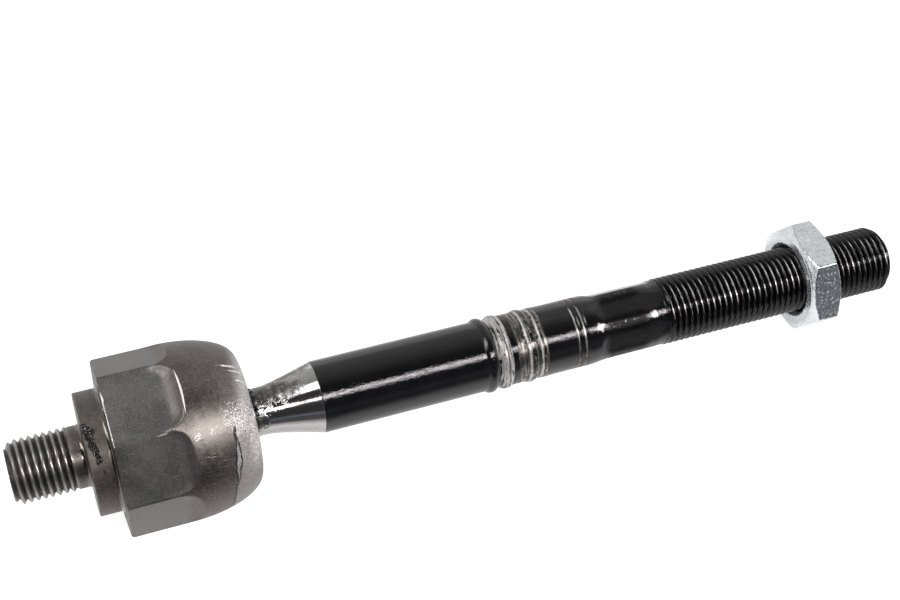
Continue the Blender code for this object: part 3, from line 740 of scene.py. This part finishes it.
def stud_path():
    """Outline of the rack stud, from its tip to the collar's face."""
    path = fine_path([(STUD_TIP, 0.0), (STUD_TIP, STUD_RADIUS - 1.0)], 1.5)
    thread = [(STUD_TIP, STUD_RADIUS - 1.0), (-14.5, STUD_RADIUS), (STUD_END, STUD_RADIUS)]
    path += fine_path(thread + [(-3.0, 6.8), (-0.9, 6.8)], 0.1)[1:]
    path += arc((-0.9, 7.7), 0.9, -90, 0, 8)[1:]
    path += [(0.3, 7.7), (0.3, 4.0), (0.3, 0.0)]
    return path


def socket_path():
    """Outline from the collar's face over the dome into the socket."""
    fillet, cavity = 0.9, 15.0
    rim_station, rim_radius = MOUTH - 0.5, 12.3
    collar = [(0.0, 0.0), (0.0, COLLAR_RADIUS - 0.2), (0.2, COLLAR_RADIUS)]
    path = fine_path(collar + [(BODY_START - fillet, COLLAR_RADIUS)], 0.8)
    path += arc((BODY_START - fillet, COLLAR_RADIUS + fillet), fillet, -90, 0, 10)[1:]
    path += fine_path([(BODY_START, COLLAR_RADIUS + fillet), (BODY_START, 16.4), (BODY_START, 17.4)], 1.2)[1:]
    path += fine_path([(BODY_START, 17.4), (BODY_START, 19.25), (5.7, BODY_RADIUS)], 0.12)[1:]
    path += fine_path([(5.7, BODY_RADIUS), (16.2, BODY_RADIUS)], 1.2)[1:]
    path += fine_path([(16.2, BODY_RADIUS), (DOME_START, BODY_RADIUS)], 0.2)[1:]
    for step in range(1, 91):
        angle = pi / 2 * (step / 90) ** 1.15
        path.append((DOME_START + 16.4 * sin(angle), BODY_RADIUS - 6.6 * (1 - cos(angle))))
    path += fine_path([(MOUTH, 13.05), (MOUTH, rim_radius)], 0.3)[1:]
    path += arc((rim_station, rim_radius), 0.5, 0, -90, 6)[1:]
    path += arc((BALL_STATION, 0), cavity, degrees(acos(9.26 / cavity)), 90, 16)
    path += fine_path([(BALL_STATION, cavity), (9.9, cavity), (7.3, 12.4), (7.3, 0.0)], 3.0)[1:]
    return path


def make_housing(surface):
    housing = swept("socket_housing", socket_path(), housing_angles(), cut_flats)
    stud = swept("rack_stud", stud_path(), np.linspace(0, 2 * pi, 121)[:-1])
    cut_thread(
        stud, surface, pitch=PITCH, depth=0.92, start=STUD_TIP - 1.0, end=STUD_END + 0.6, run_out=0.9,
        crest=0.2, offset=-0.35,
    )
    housing.data.materials.append(surface)
    merge(housing, stud)
    settle(housing, 32)
    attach(housing, "socket")
    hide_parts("housing")


# Ball rod

def hex_lands(along, angles, reach):
    """Lumps of grease at the neck, and the six flats of the wrench zone."""
    turn = np.degrees(angles) - 90.0
    lump = np.sin(along * 5.1 + turn * 0.21) + np.sin(along * 3.3 - turn * 0.37 + 1.1) + np.sin(turn * 0.55)
    where = np.clip(1 - np.abs(along - 36.4) / 1.1, 0, 1) * np.clip(1.5 - np.abs(turn + 5) / 50, 0, 1)
    grease = np.clip(lump, 0, 1.2) * where * 0.9
    reach = np.where((along > 34.6) & (along < 37.6), reach + grease, reach)
    # Both ends of each flat run out in the cutter's radius
    cutter = 5.5
    past = np.clip(np.maximum(HEX_START - along, along - HEX_END), 0, cutter - 0.1)
    rise = cutter - np.sqrt(cutter**2 - past**2)
    zone = (along > 113.0) & (along < 139.0)
    for index in range(6):
        lean = np.cos(angles - radians(HEX_TURN + 60 * index))
        flat = np.where(lean > 0.7, (HEX_FLAT + rise) / np.maximum(lean, 0.7), NO_CUT)
        reach = np.where(zone, soft_min(reach, flat, 0.10), reach)
    return reach


def rod_angles():
    """Columns, closer together over the hexagon's flats than at its corners."""
    columns = []
    for index in range(6):
        middle = HEX_TURN + 60 * index
        columns += list(middle + np.linspace(-20.5, 20.5, 11))
        columns += list(middle + np.linspace(20.5, 39.5, 7)[1:-1])
    return np.radians(np.array(columns))


def swell(place, width, height):
    """Ridge or groove round the shank."""
    points = []
    for step in range(13):
        share = step / 12
        points.append((place + width * (share - 0.5), SHANK_RADIUS + height * sin(pi * share) ** 0.8))
    return points


def rod_path():
    """Outline from the ball to the chamfered end."""
    blend_radius = 1.4
    flat = degrees(acos(sqrt(BALL_RADIUS**2 - 2.0**2) / BALL_RADIUS))
    centre = NECK_RADIUS + blend_radius
    reach = sqrt((BALL_RADIUS + blend_radius) ** 2 - centre**2)
    tangent = degrees(acos(reach / (BALL_RADIUS + blend_radius)))
    path = [(BALL_STATION - sqrt(BALL_RADIUS**2 - 4.0), 0.0)]
    path += arc((BALL_STATION, 0), BALL_RADIUS, 180 - flat, tangent, 44)
    path += arc((BALL_STATION + reach, centre), blend_radius, 180 + tangent, 270, 8)[1:]
    path += fine_path([(BALL_STATION + reach, NECK_RADIUS), (NECK_END, NECK_RADIUS)], 0.22)[1:-1]
    # The neck flares in a curve that ends along a cone
    flare_radius, bend = 7.08, FLARE_END - 1.74 / (1.07 / 4.0)
    for step in range(25):
        t = step / 24
        station = (1 - t) ** 2 * NECK_END + 2 * t * (1 - t) * bend + t**2 * FLARE_END
        path.append((station, (1 - t**2) * NECK_RADIUS + t**2 * flare_radius))
    path += fine_path([(FLARE_END, flare_radius), (51.1, 8.04)], 0.4)[1:]
    path += [(51.3, 8.10), (51.6, SHANK_RADIUS)]
    path += fine_path([(51.6, SHANK_RADIUS), (89.4, SHANK_RADIUS)], 2.5)[1:]
    # Ridges of the bellows seat
    path += swell(90.8, 2.5, 0.6)
    path += swell(92.65, 1.1, -0.55)
    path += swell(94.45, 2.5, 0.52)[:6] + [(94.5, 8.5), (94.6, 8.42), (94.7, 8.5)]
    path += swell(94.45, 2.5, 0.5)[8:]
    path += fine_path([(95.9, 8.22), (97.2, 8.2), (99.1, 8.13)], 0.4)
    path += swell(100.5, 2.5, 0.37)
    path += swell(102.25, 0.9, -0.2)
    path += [(102.75, 8.17), (103.2, 8.22), (104.5, 8.22), (106.0, 8.16)]
    path += fine_path([(106.0, SHANK_RADIUS), (112.0, SHANK_RADIUS)], 1.0)[1:]
    # Two fine grooves, the hexagon's blank, the undercut and the thread's blank
    for station in (112.4, 114.1):
        groove = ((-0.4, SHANK_RADIUS), (-0.1, THREAD_RADIUS), (0.1, THREAD_RADIUS), (0.4, SHANK_RADIUS))
        path += [(station + off, radius) for off, radius in groove]
    path += fine_path([(114.6, SHANK_RADIUS), (116.3, 8.12), (118.1, 7.95), (131.2, 7.95), (132.0, 7.9)], 0.3)
    path += fine_path([(132.0, 7.9), (133.0, 7.75), (134.3, 7.75), (THREAD_START, THREAD_RADIUS)], 0.25)[1:]
    path += fine_path([(THREAD_START, THREAD_RADIUS), (193.4, THREAD_RADIUS)], 0.107)[1:]
    path += fine_path([(193.45, THREAD_RADIUS), (ROD_END, 5.88)], 0.1)[1:]
    path += [(ROD_END, 4.0), (ROD_END, 2.0), (ROD_END, 0.0)]
    return path


def make_rod(surface):
    rod = swept("painted_ball_rod", rod_path(), rod_angles(), hex_lands)
    cut_thread(
        rod, surface, pitch=PITCH, depth=0.85, start=THREAD_START - 0.1, end=ROD_END + 2.5, run_out=1.6,
        crest=0.17, offset=134.0,
    )
    settle(rod, 32)
    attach(rod, "rod")
    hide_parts("ball_rod")


# Lock nut

NUT_FACE = 11.05


def nut_shape(along, angles, reach):
    """Hexagon with both faces chamfered at 30 degrees."""
    inwards = np.clip(np.minimum(along - NUT_START, NUT_END - along), 0, None)
    cone = NUT_FACE + inwards / tan(radians(30))
    hexagon = np.full_like(reach, NO_CUT)
    for index in range(6):
        lean = np.cos(angles - radians(90 + 60 * index))
        flat = np.where(lean > 0.6, NUT_FLAT / np.maximum(lean, 0.6), NO_CUT)
        hexagon = soft_min(hexagon, flat, 0.32)
    body = soft_min(hexagon, cone, 0.2)
    return np.where(reach > 13.0, np.minimum(reach, body), reach)


def nut_path():
    """Closed outline: first face, six sides in rows that are close together at the faces, bore."""
    bore, mouth, chamfer = 8.2, 8.95, 0.75
    rows = [0.0, 0.05, 0.12, 0.2, 0.3, 0.4, 0.5, 0.62, 0.75, 0.88, 1.0, 1.12, 1.25, 1.4, 1.6, 2.2, 3.0, 4.0]
    path = fine_path([(NUT_START + chamfer, bore), (NUT_START, mouth)], 0.2)
    path += fine_path([(NUT_START, mouth), (NUT_START, NUT_FACE)], 0.8)[1:]
    path += [(NUT_START + row, 14.2) for row in rows] + [(NUT_END - row, 14.2) for row in rows[-2::-1]]
    path += fine_path([(NUT_END, NUT_FACE), (NUT_END, mouth)], 0.8)
    path += fine_path([(NUT_END, mouth), (NUT_END - chamfer, bore)], 0.2)[1:]
    path += fine_path([(NUT_END - chamfer, bore), (NUT_START + chamfer, bore)], 0.11)[1:-1]
    return path


def nut_angles():
    """Columns, closer together at the hexagon's corners."""
    columns = []
    for index in range(6):
        steps = np.linspace(0, 1, 33)[:-1]
        columns += list(60 * index + 60 * (steps - 0.75 / (2 * pi) * np.sin(2 * pi * steps)))
    return np.radians(np.array(columns))


def make_nut(surface):
    nut = swept("zinc_lock_nut", nut_path(), nut_angles(), nut_shape, closed=True)
    nut.data.materials.append(surface)
    settle(nut, 28)
    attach(nut, "nut")
    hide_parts("lock_nut")


# Studio

def make_camera():
    """Camera solved from the photograph: 62 mm lens, above and a little to the stud's side."""
    focal_pixels, picture_width, sensor = 1547.3, 900, 36.0
    station, distance, from_level = -6.503, 341.43, radians(56.7)
    yaw, pitch, roll = radians(15.257), radians(-2.287), radians(-14.064)
    level = Matrix(((1, 0, 0), (0, 0, 1), (0, 1, 0)))
    for angle, letter in ((yaw, "Y"), (pitch, "X"), (roll, "Z")):
        level = Matrix.Rotation(-angle, 3, letter) @ level
    rise = Matrix.Rotation(-from_level, 3, "X")
    right, up, ahead = (rise @ row for row in level)
    turn = Matrix.Rotation(DIP, 3, "Y") @ Matrix((right, up, -ahead)).transposed()
    seat = ROD_FRAME @ (rise @ Vector((station, -distance, 0.0)))
    data = bpy.data.cameras.new("photo_camera")
    data.sensor_width = sensor
    data.sensor_fit = "HORIZONTAL"
    data.lens = focal_pixels / picture_width * sensor
    data.clip_start = 0.01
    camera = bpy.data.objects.new("photo_camera", data)
    camera.matrix_world = Matrix.Translation(seat) @ turn.to_4x4()
    bpy.context.scene.collection.objects.link(camera)
    bpy.context.scene.camera = camera


def polar(side, lean, reach):
    """Place seen from the part at an angle towards +X and an angle from the top to the back."""
    level = reach * cos(radians(side))
    return Vector((reach * sin(radians(side)), level * sin(radians(lean)), level * cos(radians(lean))))


def area_lamp(name, place, target, size, power, colour=(1, 1, 1)):
    """Lamp that faces its target, its long side level."""
    data = bpy.data.lights.new(name, "AREA")
    data.shape = "RECTANGLE"
    data.size, data.size_y = size
    data.energy = power
    data.color = colour
    lamp = bpy.data.objects.new(name, data)
    lamp.location = place
    away = (Vector(place) - Vector(target)).normalized()
    across = Vector((1, 0, 0))
    if abs(away.x) > 0.2:
        across = Vector((0, 0, 1)).cross(away).normalized()
    up = away.cross(across).normalized()
    across = up.cross(away)
    lamp.rotation_euler = Matrix((across, up, away)).transposed().to_euler()
    bpy.context.scene.collection.objects.link(lamp)


def background_rays(tree, shine=1.0):
    """One for what the camera sees, and the given share for what metal and glass show."""
    rays = add(tree, "ShaderNodeLightPath").outputs
    mirrored = largest(tree, rays["Is Glossy Ray"], rays["Is Transmission Ray"])
    return largest(tree, rays["Is Camera Ray"], times(tree, mirrored, shine))


def make_world():
    """White surroundings, a little weaker as light."""
    world = bpy.data.worlds.new("studio")
    bpy.context.scene.world = world
    world.use_nodes = True
    tree = world.node_tree
    colour = blend_colours(tree, background_rays(tree), (0.6, 0.6, 0.6), (1.0, 1.0, 1.0))
    plug(tree, tree.nodes["Background"], {"Color": colour})


def make_canopy():
    """Dark studio cloth arched over the part, black in front and grey at the back."""
    reach, half_width, rows = 1.1, 3.2, []
    form = bmesh.new()
    for step in range(33):
        lean = radians(-90 + 166 * step / 32)
        y, z = reach * sin(lean), reach * cos(lean) + 0.001
        rows.append([form.verts.new((x, y, z)) for x in (-half_width, half_width)])
    for low, high in zip(rows, rows[1:]):
        form.faces.new((low[0], low[1], high[1], high[0]))
    mesh = bpy.data.meshes.new("studio_canopy")
    form.to_mesh(mesh)
    form.free()
    canopy = bpy.data.objects.new("studio_canopy", mesh)
    bpy.context.scene.collection.objects.link(canopy)
    made, tree, shader = new_material("canopy_cloth")
    tree.nodes.remove(shader)
    place = add(tree, "ShaderNodeTexCoord").outputs["Object"]
    parts = add(tree, "ShaderNodeSeparateXYZ", {0: place}).outputs
    lean = math(tree, "DEGREES", math(tree, "ARCTAN2", parts["Y"], parts["Z"]))
    share = add(tree, "ShaderNodeMapRange", {"Value": lean, "From Min": -90.0, "From Max": 90.0}).outputs[0]
    ramp = add(tree, "ShaderNodeValToRGB", {0: share})
    # Degrees from the top towards the back, and brightness there
    stops = ((-90, 0.24), (-78, 0.05), (-15, 0.03), (2, 0.12), (22, 0.36), (50, 0.5), (80, 0.6))
    bar = ramp.color_ramp.elements
    while len(bar) < len(stops):
        bar.new(0.5)
    for mark, (angle, value) in zip(bar, stops):
        mark.position = (angle + 90) / 180
        blue = 1.3 if angle < -80 else 1.0
        mark.color = (value, value * sqrt(blue), value * blue, 1)
    glow = add(tree, "ShaderNodeEmission", {"Color": ramp.outputs[0], "Strength": 1.0}).outputs[0]
    plug(tree, tree.nodes["Material Output"], {"Surface": glow})
    mesh.materials.append(made)
    canopy.visible_camera = False
    canopy.visible_shadow = False


def make_floor():
    """Pale sheet that keeps the part's shadow and shows white to the camera."""
    bpy.ops.mesh.primitive_plane_add(size=6.0, location=(0, 0, -0.0002))
    floor = bpy.context.object
    floor.name = "floor"
    made, tree, shader = new_material("floor_sheet")
    # Metal and paint see the sheet glow near the part and fall off into the dark room in front
    place = add(tree, "ShaderNodeTexCoord").outputs["Object"]
    reach = add(tree, "ShaderNodeVectorMath", {0: place}, operation="LENGTH").outputs["Value"]
    depth = add(tree, "ShaderNodeSeparateXYZ", {0: place}).outputs["Y"]
    mirrored = add(tree, "ShaderNodeLightPath").outputs["Is Glossy Ray"]
    mirrored = times(tree, mirrored, fade(tree, depth, -0.07, -0.036))
    paper = blend_colours(tree, mirrored, (0.62, 0.62, 0.62), (0.08, 0.08, 0.085))
    plug(tree, shader, {"Base Color": paper, "Roughness": 0.9, "Specular IOR Level": 0.1})
    under = band(tree, depth, -0.034, 0.034, 0.006)
    shine = math(tree, "MULTIPLY_ADD", under, 0.52, ease(tree, depth, 0.0, 0.06, 0.0, 0.28))
    rays = times(tree, background_rays(tree, shine), ease(tree, reach, 0.2, 0.6, 0.75, 1.0))
    glow = add(tree, "ShaderNodeEmission", {"Color": (1, 1, 1, 1), "Strength": rays}).outputs[0]
    both = add(tree, "ShaderNodeAddShader", {0: shader.outputs[0], 1: glow}).outputs[0]
    plug(tree, tree.nodes["Material Output"], {"Surface": both})
    floor.data.materials.append(made)


make_camera()
make_housing(housing_steel())
make_rod(rod_paint())
make_nut(nut_zinc())
for node_name, finish in (("bearing_seat", seat_plastic()), ("disc_spring", spring_steel())):
    frame["nodes"][node_name].data.materials.clear()
    frame["nodes"][node_name].data.materials.append(finish)

make_floor()
make_world()
make_canopy()
# Lamps: place, target, size in metres and strength in watts
strip = polar(0.0, -38.0, 0.55)
area_lamp("strip_lamp", (0.34, strip.y, strip.z), (0.34, 0, 0.02), (1.08, 0.07), 4.2, (1.0, 0.955, 0.97))
area_lamp("left_panel", (-0.797, 0.055, 0.62), (-0.797, 0.055, 0), (1.2, 0.25), 4.5)
area_lamp("right_panel", polar(38, 35, 0.8), (0.06, 0, 0.02), (0.35, 0.35), 0.1)

bpy.context.scene.view_settings.view_transform = "Standard"
